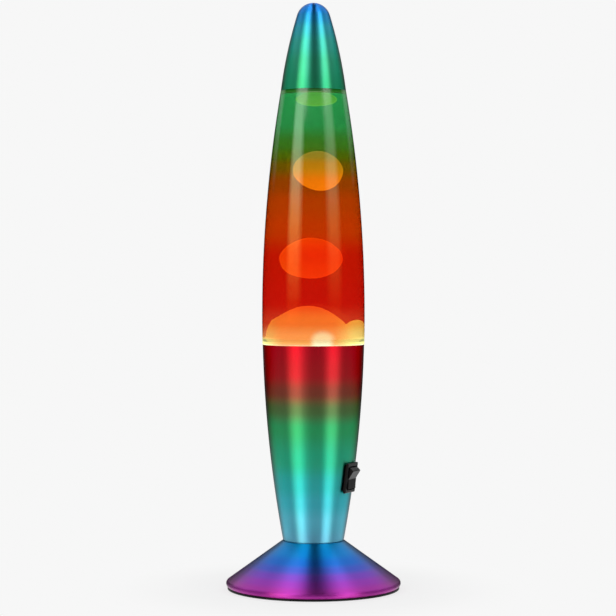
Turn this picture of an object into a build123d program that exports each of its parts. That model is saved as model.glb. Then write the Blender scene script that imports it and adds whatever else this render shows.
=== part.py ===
from build123d import *
import math
import os

# A liquid motion lamp, in millimetres. +Z is up, the origin lies on the table under the
# lamp's axis, and the front faces -Y. Outlines are given as radius and height, and are
# turned about the Z axis.

# Heights of the four stages, from the table up
foot_proud = 0.6          # what the rubber feet stand out under the base cover
cover_lip = 1.2           # black lip that shows under the skirt's hem
skirt_height = 32.5       # hem to the platform that the cup stands on
cup_height = 137.2        # platform to the cup's mouth
glass_height = 177.2      # cup's mouth to the cap's rim, the glass that shows
cap_height = 61.3         # rim to the tip of the nose

# Spun aluminium
sheet = 0.9               # wall of the skirt, the cup and the cap
spun_corner = 1.0         # radius of a spun corner
grip_gap = 0.35           # between the sheet and what snaps in behind it
through = 20.0            # length of a cutter that goes right through a wall

# Skirt
foot_radius = 61.2
hem_radius = 2.6          # outer radius of the curled hem
hem_curl = 150.0          # degrees that the curl goes on past the foot's widest line
skirt_top_radius = 21.6   # where the cone's line meets the platform

# Cup: one long arc from its foot to its mouth
cup_foot_radius = 21.25
cup_mouth_radius = 35.5
cup_arc_radius = 880.0
mouth_hem_height = 3.0    # the mouth's edge is folded in once

# Glass bottle: one long arc from the cup to the cap
glass_lip_radius = 35.65
glass_rim_radius = 22.79  # under the cap's rim
glass_arc_radius = 940.0
glass_wall = 2.2
glass_floor = 3.0
glass_edge = 0.6          # rounding of the lip that lies on the cup
heel_depth = 13.0         # how far the bottle reaches into the cup
heel_corner = 8.0
heel_clearance = 0.5
punt_height = 1.2         # hollow under the bottle
punt_radius = 20.0
shoulder_height = 15.5
neck_radius = 12.4
neck_height = 6.0
finish_radius = 13.3      # bead that the crown cork grips
finish_height = 6.6
mouth_bore_radius = 8.2
shelf_width = 1.35        # step under the cap's rim

# Crown cork
cork_sheet = 0.35
cork_flutes = 21
cork_flute_depth = 0.7
cork_skirt = 5.6
liner_thickness = 0.7
cork_clearance = 0.15

# Cap
nose_radius = 12.0
nose_angle = 17.0         # degrees above level where the nose's ball turns into the arc

# Liquid and wax
film = 0.1                # gap between things that lie in one bottle
wax_clearance = 0.3       # gap round each blob that moves
liquid_below_step = 0.1   # under the inside of the step that carries the cap
pool_depth = 16.0         # even layer of wax on the bottle's floor
dome_radius = 23.2
dome_height = 36.0        # dome's top above the bottle's floor
dome_aside = -1.0
bulge_radius = 9.0
bulge_height = 26.2
bulge_aside = 25.0
coil_wire = 1.6
coil_radius = 25.0
coil_pitch = 3.0
coil_half_turns = 6
lower_radius = 16.7
lower_belt = 59.3         # height of a blob's widest line over the cup's mouth
lower_under = 13.5        # from the belt down
lower_over = 14.8         # from the belt up
lower_aside = -1.2
upper_radius = 12.9
upper_belt = 122.0
upper_under = 15.5
upper_over = 12.0
upper_aside = 2.4
top_radius = 10.5         # this one floats at the liquid's surface
top_under = 7.2
top_over = 2.8
top_aside = 1.6

# Tie tube and its fittings
tube_radius = 4.9
tube_bore = 3.9
tube_below = 9.4          # reach under the platform
tube_clearance = 0.25     # in the sheet's holes
fit_gap = 0.05            # between parts that are screwed or pressed together
washer_thickness = 1.0
washer_radius = 9.5
nut_height = 3.0
nut_across_flats = 14.0

# Base cover and feet
cover_inset = 1.0         # lip's edge inside the foot's widest line
cover_plate = 1.8
snap_wall = 1.5
snap_height = 4.6
snap_hook = 0.7
snap_count = 6
snap_turn = 15.0          # degrees
vent_count = 12
vent_width = 3.0
vent_inner = 16.0
vent_outer = 34.0
pad_radius = 7.0
pad_recess = 1.0
pad_inset = 15.2          # the feet's centres inside the foot's widest line
pad_count = 4
pad_turn = 45.0           # degrees

# Cord gland at the rear
gland_inset = 11.2        # its centre on the cone, inside the foot's widest line
gland_bore = 2.9
gland_radius = 4.1
gland_flange = 6.0
gland_flange_height = 1.6
gland_edge = 0.7
gland_lip = 4.8
gland_lip_height = 2.0
gland_lip_edge = 0.5

# Lampholder
holder_radius = 12.5
holder_wall = 1.5
holder_base_height = 14.6
holder_floor = 3.0
holder_boss = 8.6         # height of the threaded boss
holder_boss_wall = 2.5
insert_height = 7.2
sleeve_height = 14.0
socket_radius = 7.05      # inside of the screw shell
socket_wall = 0.45
socket_hole = 4.0
entry_radius = 1.45       # side hole for the link wire
contact_rise = 1.6        # from the insert's top to the bulb's tip
contact_width = 3.0
contact_root = 3.2        # the tongue's flat end lies this far from the axis
contact_step = 0.8        # and it starts to rise here
contact_crest = 0.4
contact_reach = 2.4
terminal_head = 1.6
terminal_head_height = 1.5
terminal_shank = 1.0
terminal_reach = 5.7
terminal_end_gap = 0.5
terminal_circle = 9.2

# Bulb
bulb_cap_radius = 6.9
bulb_cap_height = 18.8
bulb_cap_wall = 0.35
bulb_tip_radius = 2.4
bulb_tip_height = 1.3
insulator_height = 2.8
bulb_radius = 19.5
bulb_length = 65.0
bulb_belt = 52.0          # height of the widest line over the tip
bulb_wall = 0.8
bulb_neck_radius = 6.4
neck_in_cap = 4.0         # how far the glass reaches into the screw cap
stem_height = 14.0
stem_radius = 2.0
filament_height = 39.0
filament_width = 12.0
filament_bow = 2.5
lead_radius = 0.4

# Switch
switch_rise = 45.2        # height of its centre over the platform
switch_turn = 62.0        # degrees from the front towards +X
bezel_width = 15.0
bezel_length = 21.0
bezel_thickness = 1.8
bezel_edge = 0.6
housing_width = 12.8
housing_length = 18.8
housing_depth = 10.5
housing_wall = 0.8
cavity_depth = 6.0
cutout_clearance = 0.2
wing_width = 6.0
wing_reach = 0.8
wing_length = 4.6
tab_width = 4.8
tab_thickness = 0.8
tab_length = 4.4
tab_hole = 0.8
tab_spacing = 9.2
rocker_gap = 0.15
rocker_reach = 8.3        # radius of the rocker's ends about its pivot
rocker_end_angle = 39.0   # degrees from level to the rocker's top edge
rocker_under_angle = 18.0
rocker_hollow = 3.4       # height of the V over the pivot
rocker_tilt = 10.0        # each way from level
pivot_depth = 1.2         # pivot under the bezel's underside
pivot_radius = 1.0
pivot_clearance = 0.06

# Link wire
wire_radius = 1.1
wire_sleeve = 0.45
wire_drop = 3.3           # straight down from the barrel
wire_swing = 6.0          # height in which it comes in beside the lampholder
wire_clearance = 1.4      # beside the lampholder
bend_share = 0.45         # an arc's share of the shorter run beside it
barrel_length = 3.0

# Heights that follow from the sizes above
hem_z = foot_proud + cover_lip
platform_z = hem_z + skirt_height
mouth_z = platform_z + cup_height
shelf_z = mouth_z + glass_height
tip_z = shelf_z + cap_height
cup_floor_z = platform_z + sheet
heel_z = mouth_z - heel_depth
cavity_floor_z = heel_z + punt_height + glass_floor
neck_z = shelf_z + shoulder_height
finish_z = neck_z + neck_height
bottle_top_z = finish_z + finish_height
liquid_z = shelf_z - glass_wall - liquid_below_step
holder_z = cup_floor_z + washer_thickness
insert_z = holder_z + holder_boss
sleeve_z = insert_z + insert_height
bulb_z = sleeve_z + contact_rise
switch_z = platform_z + switch_rise
pad_circle = foot_radius - pad_inset
UP = (Align.CENTER, Align.CENTER, Align.MIN)


def arc_centre(low, high, arc_radius):
    """Centre of the arc that bulges outward between two points, as radius and height."""
    across, up = high[0] - low[0], high[1] - low[1]
    chord = math.hypot(across, up)
    back = math.sqrt(arc_radius**2 - chord**2 / 4) / chord
    return (low[0] + high[0]) / 2 - up * back, (low[1] + high[1]) / 2 + across * back


cup_centre = arc_centre((cup_foot_radius, platform_z), (cup_mouth_radius, mouth_z), cup_arc_radius)
glass_centre = arc_centre((glass_lip_radius, mouth_z), (glass_rim_radius, shelf_z), glass_arc_radius)


def cup_radius(z):
    return cup_centre[0] + math.sqrt(cup_arc_radius**2 - (z - cup_centre[1]) ** 2)


def glass_radius(z):
    return glass_centre[0] + math.sqrt(glass_arc_radius**2 - (z - glass_centre[1]) ** 2)


def arc_between(radius_at, low, high, inset=0.0):
    """The arc that a radius function follows from one height to another."""
    middle = (low + high) / 2
    points = [(radius_at(z) - inset, z) for z in (low, middle, high)]
    return ThreePointArc(*points)


def turned(outline):
    """A closed outline of radius and height, turned about the lamp's axis."""
    return revolve(Plane.XZ * make_face(outline), Axis.Z)


def disc(radius, low, high):
    return Pos(0, 0, low) * Cylinder(radius, high - low, align=UP)


def ring(hole, radius, low, high):
    return disc(radius, low, high) - disc(hole, low, high)


def around(shape, count, start=0.0):
    """Copies of a shape, evenly spaced about the lamp's axis."""
    return [Rot(0, 0, start + 360 * i / count) * shape for i in range(count)]


def wall_outline(outer, inner):
    """Closes an outer and an inner line with straight ends."""
    ends = Line(outer @ 0, inner @ 0) + Line(outer @ 1, inner @ 1)
    return outer + inner + ends


def cone_slope():
    """The angle of the skirt's cone, which runs from its top edge tangent to the hem."""
    across = foot_radius - hem_radius - skirt_top_radius
    down = skirt_height - hem_radius
    return math.atan2(down, across) - math.asin(hem_radius / math.hypot(across, down))


def skirt_line(inset):
    """The skirt's line from the tube's hole over the cone to the end of the curled hem."""
    slope = cone_slope()
    centre = Vector(foot_radius - hem_radius, hem_z + hem_radius)
    outward = Vector(math.sin(slope), math.cos(slope))
    hem = hem_radius - inset
    touch = centre + outward * hem
    start = (tube_radius + tube_clearance, platform_z - inset)
    corner_radius = skirt_top_radius - inset * math.tan(slope / 2)
    corner = (corner_radius, platform_z - inset)
    top = FilletPolyline(start, corner, touch, radius=spun_corner + sheet - inset)
    first = 90 - math.degrees(slope)
    return top + CenterArc(centre, hem, first, -(first + hem_curl))


def foot_skirt():
    skirt = turned(wall_outline(skirt_line(0), skirt_line(sheet)))
    return skirt - gland_frame() * Cylinder(gland_radius + fit_gap, through)


def gland_frame():
    """On the rear of the cone, with its Z axis square to the sheet."""
    slope = cone_slope()
    along = foot_radius - gland_inset
    z = platform_z - (along - skirt_top_radius) * math.tan(slope)
    outward = (0, math.sin(slope), math.cos(slope))
    return Plane(origin=(0, along, z), x_dir=(1, 0, 0), z_dir=outward)


def cord_gland():
    low = -sheet - grip_gap - gland_lip_height
    body = disc(gland_radius, low, gland_flange_height)
    flange = disc(gland_flange, 0, gland_flange_height)
    flange = fillet(flange.edges().group_by(Axis.Z)[-1], gland_edge)
    lip = disc(gland_lip, low, low + gland_lip_height)
    lip = chamfer(lip.edges().group_by(Axis.Z)[0], gland_lip_edge)
    return gland_frame() * (body + flange + lip - disc(gland_bore, low, gland_flange_height))


def base_cover():
    """Moulded dish: lip under the hem, snap tongues behind it, vents and foot recesses."""
    top = foot_proud + cover_plate
    lip_radius = foot_radius - cover_inset
    hem_inside = foot_radius - 2 * hem_radius
    wall_radius = hem_inside - snap_hook
    plate = disc(lip_radius, foot_proud, hem_z) + disc(wall_radius, foot_proud, top)
    plate += snap_ring(wall_radius)
    vent = Pos((vent_inner + vent_outer) / 2, 0, top) * Box(
        vent_outer - vent_inner, vent_width, through
    )
    plate -= around(vent, vent_count)
    pad = Pos(pad_circle, 0, foot_proud) * Cylinder(
        pad_radius + fit_gap, pad_recess, align=UP
    )
    return plate - around(pad, pad_count, pad_turn)


def snap_ring(wall_radius):
    """Upright tongues whose hooks lie over the end of the hem's curl."""
    wall_top = hem_z + snap_height
    hook_z = hem_z + hem_radius * (1 + math.sin(math.radians(-hem_curl))) + sheet
    wall = ring(wall_radius - snap_wall, wall_radius, hem_z, wall_top)
    hook_line = Polyline(
        (wall_radius - snap_wall / 2, hook_z),
        (wall_radius + snap_hook, hook_z),
        (wall_radius + snap_hook, hook_z + snap_hook),
        (wall_radius, wall_top),
        (wall_radius - snap_wall / 2, wall_top),
        close=True,
    )
    whole = wall + turned(hook_line)
    slot = Pos(wall_radius, 0, hem_z + cover_plate) * Box(
        through, wall_radius * math.pi / snap_count, through, align=UP
    )
    return whole - around(slot, snap_count, snap_turn)


def rubber_feet():
    height = foot_proud + pad_recess
    pad = Pos(pad_circle, 0, 0) * Cylinder(pad_radius, height, align=UP)
    pad = fillet(pad.edges().group_by(Axis.Z)[0], foot_proud / 2)
    return Compound(children=around(pad, pad_count, pad_turn))


def tie_tube():
    low = platform_z - sheet - tube_below
    return ring(tube_bore, tube_radius, low, insert_z)


def tube_nut():
    top = platform_z - sheet - washer_thickness
    hexagon = RegularPolygon(nut_across_flats / 2, 6, major_radius=False)
    nut = Pos(0, 0, top - nut_height) * extrude(hexagon, nut_height)
    return nut - disc(tube_radius + fit_gap, top - nut_height, top)


def tube_washers():
    hole = tube_radius + tube_clearance
    low = platform_z - sheet - washer_thickness
    above = ring(hole, washer_radius, cup_floor_z, holder_z)
    below = ring(hole, washer_radius, low, low + washer_thickness)
    return Compound(children=[above, below])


def body_cup():
    """Spun cup: one arc from the platform to the mouth, with the mouth's edge folded in."""
    floor = Line((0, platform_z), (cup_radius(platform_z), platform_z))
    side = arc_between(cup_radius, platform_z, mouth_z)
    closing = Polyline((cup_mouth_radius, mouth_z), (0, mouth_z), (0, platform_z))
    cup = turned(floor + side + closing)
    cup = fillet(cup.edges().group_by(Axis.Z)[0], spun_corner)
    cup = offset(cup, -sheet, openings=cup.faces().sort_by(Axis.Z)[-1])
    fold_z = mouth_z - mouth_hem_height
    inner = arc_between(cup_radius, fold_z, mouth_z, 2 * sheet)
    outside = arc_between(cup_radius, fold_z, mouth_z, sheet / 2)
    cup += turned(wall_outline(outside, inner))
    cup -= disc(tube_radius + tube_clearance, platform_z, cup_floor_z)
    cutout = Box(
        housing_width + 2 * cutout_clearance,
        housing_length + 2 * cutout_clearance,
        through,
    )
    return cup - switch_frame() * cutout


def switch_frame():
    """On the cup's wall, with X along its width, Y up along the wall and Z outward."""
    turn = math.radians(switch_turn)
    lean = math.asin((cup_centre[1] - switch_z) / cup_arc_radius)
    radius = cup_radius(switch_z)
    out = Vector(math.sin(turn), -math.cos(turn), 0)
    normal = out * math.cos(lean) - Vector(0, 0, math.sin(lean))
    across = (math.cos(turn), math.sin(turn), 0)
    origin = out * radius + Vector(0, 0, switch_z)
    return Plane(origin=origin, x_dir=across, z_dir=normal)


def switch_housing():
    bezel = Box(bezel_width, bezel_length, bezel_thickness, align=UP)
    bezel = chamfer(bezel.edges().group_by(Axis.Z)[-1], bezel_edge)
    block = Box(housing_width, housing_length, housing_depth)
    block = Pos(0, 0, -housing_depth / 2) * block
    room = Box(
        housing_width - 2 * housing_wall,
        2 * (rocker_reach + rocker_gap),
        cavity_depth + bezel_thickness,
        align=UP,
    )
    room = Pos(0, 0, -cavity_depth) * room
    pins = Pos(0, 0, -pivot_depth) * Rot(0, 90, 0) * Cylinder(
        pivot_radius + pivot_clearance, housing_width - housing_wall
    )
    housing = bezel + block + switch_wings() - room - pins
    return switch_frame() * housing


def switch_wings():
    """Springy wedges at both ends that hold the switch behind the sheet."""
    start = -(sheet + grip_gap)
    half = housing_length / 2
    wedge_line = Polyline(
        (half - housing_wall / 2, start),
        (half + wing_reach, start),
        (half, start - wing_length),
        (half - housing_wall / 2, start - wing_length),
        close=True,
    )
    wedge = extrude(Plane.YZ * make_face(wedge_line), wing_width / 2, both=True)
    return wedge + mirror(wedge, Plane.XZ)


def switch_terminals():
    tab = Box(tab_thickness, tab_width, tab_length)
    hole = Rot(0, 90, 0) * Cylinder(tab_hole, 2 * tab_thickness)
    tab = Pos(0, 0, -housing_depth - tab_length / 2) * (tab - hole)
    pair = [Pos(0, side * tab_spacing / 2, 0) * tab for side in (-1, 1)]
    return switch_frame() * Compound(children=pair)


def barrel_depth():
    """How far behind the cup's face the wire terminal's barrel hangs."""
    return housing_depth + fit_gap + wire_radius + wire_sleeve


def wire_terminal():
    """Push-on terminal on the lower tab, with its barrel hanging down for the wire."""
    width = tab_width + 2 * wire_sleeve
    outer = Box(tab_thickness + 2 * wire_sleeve, width, tab_length - fit_gap)
    slot = Box(tab_thickness, tab_width, 2 * tab_length)
    middle = -housing_depth - fit_gap - (tab_length - fit_gap) / 2
    sleeve = Pos(0, -tab_spacing / 2, middle) * (outer - slot)
    barrel = Cylinder(wire_radius + wire_sleeve, barrel_length, align=UP)
    low = -tab_spacing / 2 - width / 2 - barrel_length
    barrel = Pos(0, low, -barrel_depth()) * Rot(-90, 0, 0) * barrel
    return switch_frame() * (sleeve + barrel)


def switch_rocker():
    """Rocker with a V across its face and round ends, tilted to the pressed-on position."""
    end = math.radians(rocker_end_angle)
    under = math.radians(rocker_under_angle)
    top = Vector(rocker_reach * math.cos(end), rocker_reach * math.sin(end))
    bottom = Vector(rocker_reach * math.cos(under), -rocker_reach * math.sin(under))
    side = ThreePointArc(bottom, (rocker_reach, 0), top)
    other = ThreePointArc((-bottom.X, bottom.Y), (-rocker_reach, 0), (-top.X, top.Y))
    face = Polyline((top.X, top.Y), (0, rocker_hollow), (-top.X, top.Y))
    base = Line((bottom.X, bottom.Y), (-bottom.X, bottom.Y))
    outline = make_face(side + other + face + base)
    width = housing_width - 2 * housing_wall - 2 * rocker_gap
    rocker = extrude(Plane.YZ * outline, width / 2, both=True)
    pins = Rot(0, 90, 0) * Cylinder(pivot_radius, width + housing_wall)
    rocker = Pos(0, 0, -pivot_depth) * Rot(rocker_tilt, 0, 0) * (rocker + pins)
    return switch_frame() * rocker


def holder_direction():
    """Plane through the lamp's axis and the switch, with X outward and Y up."""
    turn = math.radians(switch_turn)
    across = (-math.cos(turn), -math.sin(turn), 0)
    return Plane(origin=(0, 0, 0), x_dir=(math.sin(turn), -math.cos(turn), 0), z_dir=across)


def wire_route():
    """Runs of the link wire as radius and height, from the barrel to the terminal."""
    frame = switch_frame()
    low = -tab_spacing / 2 - tab_width / 2 - wire_sleeve - barrel_length
    start = frame.from_local_coords(Vector(0, low, -barrel_depth()))
    below = frame.from_local_coords(Vector(0, low - wire_drop, -barrel_depth()))
    points = [(math.hypot(p.X, p.Y), p.Z) for p in (start, below)]
    clear = holder_radius + wire_clearance + wire_radius
    entry_z = insert_z - wire_radius - fit_gap
    end = terminal_circle + terminal_head + fit_gap
    return points + [(clear, points[1][1] - wire_swing), (clear, entry_z), (end, entry_z)]


def link_wire():
    points = wire_route()
    runs = [math.dist(a, b) for a, b in zip(points, points[1:])]
    radii = []
    for i in range(1, len(points) - 1):
        before = Vector(*points[i]) - Vector(*points[i - 1])
        after = Vector(*points[i + 1]) - Vector(*points[i])
        turn = math.radians(before.get_angle(after))
        radii.append(bend_share * min(runs[i - 1], runs[i]) / math.tan(turn / 2))
    print("link wire bend radii", [round(r, 1) for r in radii])
    path = holder_direction() * FilletPolyline(*points, radius=radii)
    start = Plane(origin=path @ 0, z_dir=path % 0)
    wire = sweep(start * Circle(wire_radius), path=path)
    expected = path.length * math.pi * wire_radius**2
    print("link wire volume", round(wire.volume, 1), "expected", round(expected, 1))
    return wire


def wire_entry():
    """Hole through the lampholder's side, on the wire's last run."""
    radius, z = wire_route()[-1]
    hole = Rot(0, 90, 0) * Cylinder(entry_radius, through, align=UP)
    return Pos(0, 0, z) * Rot(0, 0, switch_turn - 90) * Pos(radius, 0, 0) * hole


def lampholder_base():
    """Lower half of the lampholder, with the threaded entry that the tube screws into."""
    bore = tube_radius + fit_gap
    inside = holder_radius - holder_wall
    boss = bore + holder_boss_wall
    floor = holder_z + holder_floor
    outline = Polyline(
        (bore, holder_z),
        (holder_radius - spun_corner, holder_z),
        (holder_radius, holder_z + spun_corner),
        (holder_radius, holder_z + holder_base_height),
        (inside, holder_z + holder_base_height),
        (inside, floor),
        (boss, floor),
        (boss, insert_z),
        (bore, insert_z),
        close=True,
    )
    return turned(outline) - wire_entry()


def terminal_places(shape):
    across = Pos(terminal_circle, 0, 0) * shape
    return around(across, 2, switch_turn - 90)


def lampholder_insert():
    radius = holder_radius - holder_wall - fit_gap
    block = disc(radius, insert_z, sleeve_z)
    depth = terminal_reach + terminal_end_gap
    hole = disc(terminal_shank + fit_gap, insert_z, insert_z + depth)
    return block - terminal_places(hole)


def terminal_screws():
    head = disc(terminal_head, insert_z - terminal_head_height, insert_z)
    shank = disc(terminal_shank, insert_z, insert_z + terminal_reach)
    return Compound(children=terminal_places(head + shank))


def lampholder_body():
    """Upper sleeve of the lampholder, over the insert and round the screw shell."""
    base_top = holder_z + holder_base_height
    bore = socket_radius + socket_wall + fit_gap
    top = sleeve_z + sleeve_height
    outline = Polyline(
        (holder_radius - holder_wall, base_top),
        (holder_radius, base_top),
        (holder_radius, top - spun_corner),
        (holder_radius - spun_corner, top),
        (bore, top),
        (bore, sleeve_z),
        (holder_radius - holder_wall, sleeve_z),
        close=True,
    )
    return turned(outline)


def lampholder_shell():
    outside = socket_radius + socket_wall
    top = sleeve_z + sleeve_height - spun_corner
    wall = ring(socket_radius, outside, sleeve_z, top)
    return wall + ring(socket_hole, outside, sleeve_z, sleeve_z + socket_wall)


def centre_contact():
    """Springy tongue that rises from the insert to the bulb's tip."""
    thickness = socket_wall
    rise = bulb_z - fit_gap - sleeve_z
    outline = Polyline(
        (-contact_root, 0),
        (-contact_step, 0),
        (contact_crest, rise - thickness),
        (contact_reach, rise - thickness),
        (contact_reach, rise),
        (-contact_crest, rise),
        (-2 * contact_step, thickness),
        (-contact_root, thickness),
        close=True,
    )
    tongue = extrude(Plane.XZ * make_face(outline), contact_width / 2, both=True)
    return Pos(0, 0, sleeve_z) * tongue


def bulb_tip_contact():
    return disc(bulb_tip_radius, bulb_z, bulb_z + bulb_tip_height)


def insulator_top():
    return bulb_z + bulb_tip_height + insulator_height


def bulb_insulator():
    low = bulb_z + bulb_tip_height
    high = insulator_top()
    shoulder = bulb_cap_radius - 2 * bulb_cap_wall
    outline = Polyline(
        (0, low),
        (bulb_tip_radius + bulb_cap_wall, low),
        (shoulder, high),
        (0, high),
        close=True,
    )
    return turned(outline)


def bulb_screw_cap():
    low = insulator_top()
    wall = ring(bulb_cap_radius - bulb_cap_wall, bulb_cap_radius, low, low + bulb_cap_height)
    shoulder = bulb_cap_radius - 2 * bulb_cap_wall
    return wall + ring(shoulder / 2, bulb_cap_radius, low, low + bulb_cap_wall)


def bulb_line(inset):
    """The reflector bulb's line, from its neck in the cap over the belt to the crown."""
    cap_top = insulator_top() + bulb_cap_height
    neck = bulb_neck_radius - inset
    belt_z = bulb_z + bulb_belt
    top = bulb_z + bulb_length - inset
    straight = Line((neck, cap_top - neck_in_cap), (neck, cap_top))
    cone = Spline((neck, cap_top), (bulb_radius - inset, belt_z), tangents=((0, 1), (0, 1)))
    crown = Spline((bulb_radius - inset, belt_z), (0, top), tangents=((0, 1), (-1, 0)))
    return straight + cone + crown


def bulb_glass():
    outer = bulb_line(0)
    inner = bulb_line(bulb_wall)
    low_z = (outer @ 0).Y
    foot = Line((bulb_neck_radius, low_z), (bulb_neck_radius - bulb_wall, low_z))
    pole = Line(outer @ 1, inner @ 1)
    return turned(outer + inner + foot + pole)


def stem_z():
    return insulator_top() + bulb_cap_height - neck_in_cap


def bulb_stem():
    """Glass foot in the neck that carries the lead wires."""
    low = stem_z()
    radius = bulb_neck_radius - bulb_wall - fit_gap
    outline = Polyline(
        (0, low),
        (radius, low),
        (radius, low + bulb_wall),
        (stem_radius, low + stem_height / 2),
        (stem_radius, low + stem_height),
        (0, low + stem_height),
        close=True,
    )
    return turned(outline)


def bulb_filament():
    """Two lead wires with the filament bowed between them, as one bent wire."""
    low = stem_z() + stem_height + lead_radius
    high = bulb_z + filament_height
    half = filament_width / 2
    foot = stem_radius / 2
    crest = high + filament_bow
    points = [(-foot, low), (-half, high), (0, crest), (half, high), (foot, low)]
    path = Plane.XZ * FilletPolyline(*points, radius=3 * lead_radius)
    start = Plane(origin=path @ 0, z_dir=path % 0)
    return sweep(start * Circle(lead_radius), path=path)


def bottle_outline():
    """Outside of the bottle: heel in the cup, lip on its mouth, long arc, shelf and neck."""
    heel = cup_mouth_radius - 2 * sheet - heel_clearance
    shelf = glass_radius(shelf_z)
    below = FilletPolyline(
        (punt_radius, heel_z), (heel, heel_z), (heel, mouth_z), radius=heel_corner
    )
    punt = TangentArc((0, heel_z + punt_height), (punt_radius, heel_z), tangent=(1, 0))
    lip = Line((heel, mouth_z), (glass_radius(mouth_z), mouth_z))
    side = arc_between(glass_radius, mouth_z, shelf_z)
    step = Line((shelf, shelf_z), (shelf - shelf_width, shelf_z))
    shoulder = Spline(
        (shelf - shelf_width, shelf_z), (neck_radius, neck_z), tangents=((0, 1), (0, 1))
    )
    bead = (finish_radius - neck_radius) / 2
    finish = Polyline(
        (neck_radius, neck_z),
        (neck_radius, finish_z),
        (finish_radius, finish_z + bead),
        (finish_radius, bottle_top_z - 2 * bead),
        (finish_radius - 2 * bead, bottle_top_z),
        (0, bottle_top_z),
        (0, heel_z + punt_height),
    )
    return punt + below + lip + side + step + shoulder + finish


def bottle_inside(gap, top):
    """The bottle's inside, filled up to a height, and kept a gap away from the glass."""
    inset = glass_wall + gap
    heel = cup_mouth_radius - 2 * sheet - heel_clearance - inset
    floor = cavity_floor_z + gap
    bend_z = mouth_z + glass_wall
    wall_low = bend_z + glass_wall
    shelf = glass_radius(shelf_z) - shelf_width - inset
    floor_line = FilletPolyline((0, floor), (heel, floor), (heel, bend_z), radius=heel_corner / 2)
    lean = Line((heel, bend_z), (glass_radius(wall_low) - inset, wall_low))
    if top <= shelf_z - glass_wall:
        side = arc_between(glass_radius, wall_low, top, inset)
        closing = Polyline((glass_radius(top) - inset, top), (0, top), (0, floor))
        return turned(floor_line + lean + side + closing)
    wall_top = shelf_z - glass_wall
    bore = mouth_bore_radius
    side = arc_between(glass_radius, wall_low, wall_top, inset)
    step = Line((glass_radius(wall_top) - inset, wall_top), (shelf, shelf_z))
    shoulder = Spline((shelf, shelf_z), (bore, neck_z), tangents=((0, 1), (0, 1)))
    closing = Polyline((bore, neck_z), (bore, top), (0, top), (0, floor))
    return turned(floor_line + lean + side + step + shoulder + closing)


def glass_bottle():
    bottle = turned(bottle_outline())
    at_mouth = bottle.edges().filter_by(GeomType.CIRCLE).filter_by_position(
        Axis.Z, mouth_z - fit_gap, mouth_z + fit_gap
    )
    bottle = fillet(at_mouth.sort_by(SortBy.RADIUS)[-1], glass_edge)
    return bottle - bottle_inside(0, bottle_top_z + 1)


def crown_liner():
    return disc(finish_radius - cork_clearance, bottle_top_z, bottle_top_z + liner_thickness)


def crown_cork():
    """Crimped crown: a domed top and a fluted skirt that grips the bottle's bead."""
    inside = finish_radius + cork_clearance
    valley = inside + cork_sheet
    flange = valley + cork_flute_depth
    top = bottle_top_z + liner_thickness + cork_sheet
    low = top - cork_skirt
    points = []
    for i in range(2 * cork_flutes):
        reach = flange if i % 2 == 0 else valley
        angle = math.pi * i / cork_flutes
        points.append((reach * math.cos(angle), reach * math.sin(angle)))
    star = make_face(Polyline(*points, close=True))
    skirt = Pos(0, 0, low) * extrude(star, cork_skirt - spun_corner)
    crown = disc(valley, low, top)
    crown = fillet(crown.edges().group_by(Axis.Z)[-1], spun_corner)
    return skirt + crown - disc(inside, low, bottle_top_z + liner_thickness)


def wax_coil(extra=0.0):
    """Flat spiral of wire on the bottle's floor, in half turns that meet tangentially."""
    z = cavity_floor_z + film + coil_wire / 2
    path = None
    ends = [coil_radius]
    for i in range(coil_half_turns):
        reach = abs(ends[-1]) - coil_pitch / 2
        ends.append(-reach if ends[-1] > 0 else reach)
    for start, end in zip(ends, ends[1:]):
        middle = (start + end) / 2
        half = abs(start - end) / 2
        bow = half if start > 0 else -half
        turn = ThreePointArc((start, 0), (middle, bow), (end, 0))
        path = turn if path is None else path + turn
    path = Pos(0, 0, z) * path
    start = Plane(origin=path @ 0, z_dir=path % 0)
    return sweep(start * Circle(coil_wire / 2 + extra), path=path)


def wax_shape():
    """An even pool, a round dome and a bulge at the right wall, wider than the bottle."""
    pool = disc(2 * glass_lip_radius, heel_z, cavity_floor_z + pool_depth)
    dome_z = cavity_floor_z + dome_height - dome_radius
    dome = Pos(dome_aside, 0, dome_z) * Sphere(dome_radius)
    bulge_z = cavity_floor_z + bulge_height - bulge_radius
    bulge = Pos(bulge_aside, 0, bulge_z) * Sphere(bulge_radius)
    return pool + dome + bulge


def wax_mound():
    """Melted wax on the bottle's floor, round the wire coil."""
    room = bottle_inside(film, cavity_floor_z + dome_height + film)
    return (wax_shape() & room) - wax_coil(film)


def blob(radius, belt_z, under, over, grow=0.0):
    """A round blob, turned from one smooth line from its underside over its belt to its top."""
    low = (0, belt_z - under - grow)
    high = (0, belt_z + over + grow)
    side = Spline(low, (radius + grow, belt_z), high, tangents=((1, 0), (-1, 0)))
    return turned(side + Line(high, low))


def wax_blob_lower(grow=0.0):
    belt_z = mouth_z + lower_belt
    return Pos(lower_aside, 0, 0) * blob(lower_radius, belt_z, lower_under, lower_over, grow)


def wax_blob_upper(grow=0.0):
    belt_z = mouth_z + upper_belt
    return Pos(upper_aside, 0, 0) * blob(upper_radius, belt_z, upper_under, upper_over, grow)


def wax_blob_top(grow=0.0):
    belt_z = liquid_z - top_over
    return Pos(top_aside, 0, 0) * blob(top_radius, belt_z, top_under, top_over, grow)


def liquid():
    """Clear liquid over the mound, with a space round each blob."""
    full = bottle_inside(film, liquid_z) - wax_shape()
    for cavity in (wax_blob_lower, wax_blob_upper, wax_blob_top):
        full -= cavity(wax_clearance)
    return full


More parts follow.
